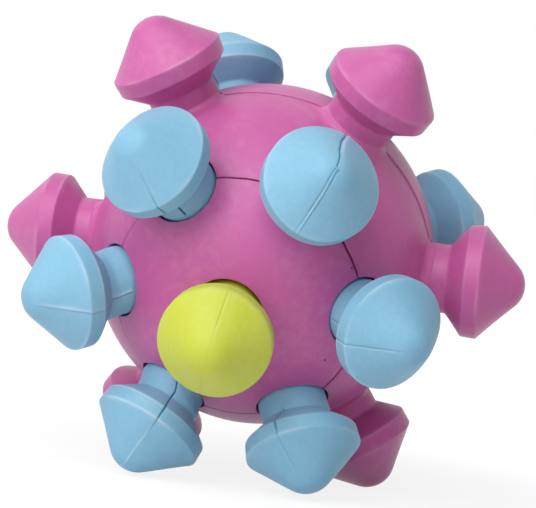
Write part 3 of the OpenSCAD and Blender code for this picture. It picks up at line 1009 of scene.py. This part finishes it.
def white_room(scene, strength):
    """World that lights the object evenly and is plain white to the camera."""
    scene.world = bpy.data.worlds.new("White Room")
    tree = new_tree(scene.world)
    light = tree.nodes["Background"]
    feed(tree, light, {"Color": WHITE, "Strength": strength})
    white = add_node(tree, "ShaderNodeBackground", {"Color": WHITE, "Strength": 1.0})
    mix_shaders(tree, plain_view(tree), light, white, "World Output")


def area_light(name, place, size, watts):
    """Square soft light aimed at the ball."""
    data = bpy.data.lights.new(name, "AREA")
    data.energy = watts
    data.size = size
    light = bpy.data.objects.new(name, data)
    bpy.context.scene.collection.objects.link(light)
    light.location = place
    light.rotation_mode = "QUATERNION"
    light.rotation_quaternion = (-Vector(place)).to_track_quat("-Z", "Y")


def place_camera(scene, stage):
    """Camera at the photograph's angle."""
    right = Vector(CAMERA_RIGHT).normalized()
    toward = Vector(CAMERA_WAY)
    toward = (toward - right * toward.dot(right)).normalized()
    up = toward.cross(right)
    data = bpy.data.cameras.new("camera")
    data.sensor_width = 36.0
    data.lens = stage.lens
    data.clip_start, data.clip_end = 0.01, 20.0
    camera = bpy.data.objects.new("camera", data)
    scene.collection.objects.link(camera)
    turn = Matrix((right, up, toward)).transposed().to_4x4()
    turn.translation = toward * stage.distance + right * CAMERA_OFFSET[0] + up * CAMERA_OFFSET[1]
    camera.matrix_world = turn
    scene.camera = camera


# Operators and panel

class TREATBALL_OT_materials(bpy.types.Operator):
    """Make the node groups and the three rubber materials"""
    bl_idname = "treatball.materials"
    bl_label = "Rubber Materials"

    def execute(self, context):
        finish = context.scene.rubber_finish
        pigment_group()
        grain_group()
        pinhole_group()
        matte = finish.roughness
        smoother = finish.pink_roughness
        # Rows: name, colour, deep tone, mottle scale, roughness, shine, share of painted edge highlight,
        # pinholes
        for row in (("Pink Rubber", finish.pink, (0.62, 0.40, 0.60), 45.0, smoother, 0.36, 0.10, True),
                    ("Blue Rubber", finish.blue, (0.28, 0.40, 0.52), 80.0, matte, 0.3, 0.20, False),
                    ("Green Rubber", finish.green, (0.62, 0.62, 0.45), 80.0, matte, 0.4, 0.04, False)):
            rubber_material(*row, finish)
        return {"FINISHED"}


class TREATBALL_OT_panels(bpy.types.Operator):
    """Build the two caps and the two bands of the hollow ball"""
    bl_idname = "treatball.panels"
    bl_label = "Ball Panels"

    def execute(self, context):
        ball, stud = context.scene.ball_sizes, context.scene.stud_sizes
        outline = moulded_outline(ball, stud)
        studs = []
        for k in range(STUDS_PER_RING):
            name = "pink_stud_%d" % (k + 1)
            points, *rest = spun_piece(name, outline, PINK_SEED + k, ball, stud, (NO_LINE, NO_LINE))
            studs.append((stand_up(place_on_ball(points, math.pi / 2, SECTOR * k), ball.ring_angle), *rest))
        jobs = (("front_cap", settle_seam(cap_rings(ball), ball), True, ()),
                ("front_band", settle_seam(front_band_rings(ball, stud), ball), True, studs),
                ("back_band", back_band_rings(ball), False, ()),
                ("back_cap", cap_rings(ball), False, ()))
        for seed, (node, rings, front, extra) in enumerate(jobs, PANEL_SEED):
            piece = panel_object(node + "_rubber", rings, ball, seed, front, extra)
            fit_to_frame(piece, node, "ball", "pink_rubber")
        return {"FINISHED"}


class TREATBALL_OT_blue_studs(bpy.types.Operator):
    """Build the twelve blue push-in studs"""
    bl_idname = "treatball.blue_studs"
    bl_label = "Blue Studs"

    def execute(self, context):
        ball, stud = context.scene.ball_sizes, context.scene.stud_sizes
        outline, key = push_in_outline(ball, stud)
        for side, polar in (("front", ball.ring_angle), ("back", math.pi - ball.ring_angle)):
            for k in range(STUDS_PER_RING):
                node = "blue_stud_%s_%d" % (side, k + 1)
                seed = BLUE_SEED + 10 * k + (side == "back")
                lines = MOULD_LINES.get(node, (PLAIN_LINE, PLAIN_LINE))
                push_in_piece(node, "blue_rubber", outline, seed, polar, SECTOR * k, ball, stud, lines, key)
        return {"FINISHED"}


class TREATBALL_OT_green_plugs(bpy.types.Operator):
    """Build the two green plugs that close the treat ports"""
    bl_idname = "treatball.green_plugs"
    bl_label = "Green Plugs"

    def execute(self, context):
        ball, stud = context.scene.ball_sizes, context.scene.stud_sizes
        outline = plug_outline(ball, stud)
        for node, seed, polar in (("green_plug_front", GREEN_SEED + 1, 0.0),
                                  ("green_plug_back", GREEN_SEED, math.pi)):
            push_in_piece(node, "green_rubber", outline, seed, polar, math.pi / 2, ball, stud,
                          (FAINT_LINE, FAINT_LINE))
        return {"FINISHED"}


class TREATBALL_OT_stage(bpy.types.Operator):
    """Set up the pale floor, the white room, the soft lights and the camera"""
    bl_idname = "treatball.stage"
    bl_label = "Stage"

    def execute(self, context):
        scene = context.scene
        stage = scene.stage_settings
        floor_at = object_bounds()[0].z
        corners = np.array([(x * FLOOR_REACH, y * FLOOR_REACH, floor_at)
                            for x, y in ((-1, -1), (1, -1), (1, 1), (-1, 1))])
        floor = mesh_object("floor", corners, np.array(((0, 1, 2, 3),)))
        floor.data.materials.append(floor_material(stage.shadow))
        floor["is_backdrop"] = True
        white_room(scene, stage.sky)
        for label, place, size in LIGHTS:
            area_light(label + " light", place, stage.light_size * size, getattr(stage, label + "_watts"))
        place_camera(scene, stage)
        scene.view_settings.view_transform = "Standard"
        return {"FINISHED"}


class TREATBALL_PT_panel(bpy.types.Panel):
    """Sizes, finishes and build steps of the treat ball"""
    bl_idname = "TREATBALL_PT_panel"
    bl_label = "Treat Ball"
    bl_space_type = "VIEW_3D"
    bl_region_type = "UI"
    bl_category = "Treat Ball"

    def draw(self, context):
        for label, _ in PROPERTY_GROUPS:
            box = self.layout.box()
            group = getattr(context.scene, label)
            for key in type(group).__annotations__:
                box.prop(group, key)
        for operator in OPERATORS:
            self.layout.operator(operator.bl_idname)


OPERATORS = (TREATBALL_OT_materials, TREATBALL_OT_panels, TREATBALL_OT_blue_studs, TREATBALL_OT_green_plugs,
             TREATBALL_OT_stage)
CLASSES = tuple(group for _, group in PROPERTY_GROUPS) + OPERATORS + (TREATBALL_PT_panel,)


def register():
    for cls in CLASSES:
        bpy.utils.register_class(cls)
    for label, group in PROPERTY_GROUPS:
        setattr(bpy.types.Scene, label, PointerProperty(type=group))


def unregister():
    for label, _ in PROPERTY_GROUPS:
        delattr(bpy.types.Scene, label)
    for cls in reversed(CLASSES):
        bpy.utils.unregister_class(cls)


def main():
    register()
    bpy.ops.treatball.materials()
    bpy.ops.treatball.panels()
    bpy.ops.treatball.blue_studs()
    bpy.ops.treatball.green_plugs()
    bpy.ops.treatball.stage()


if __name__ == "__main__":
    main()
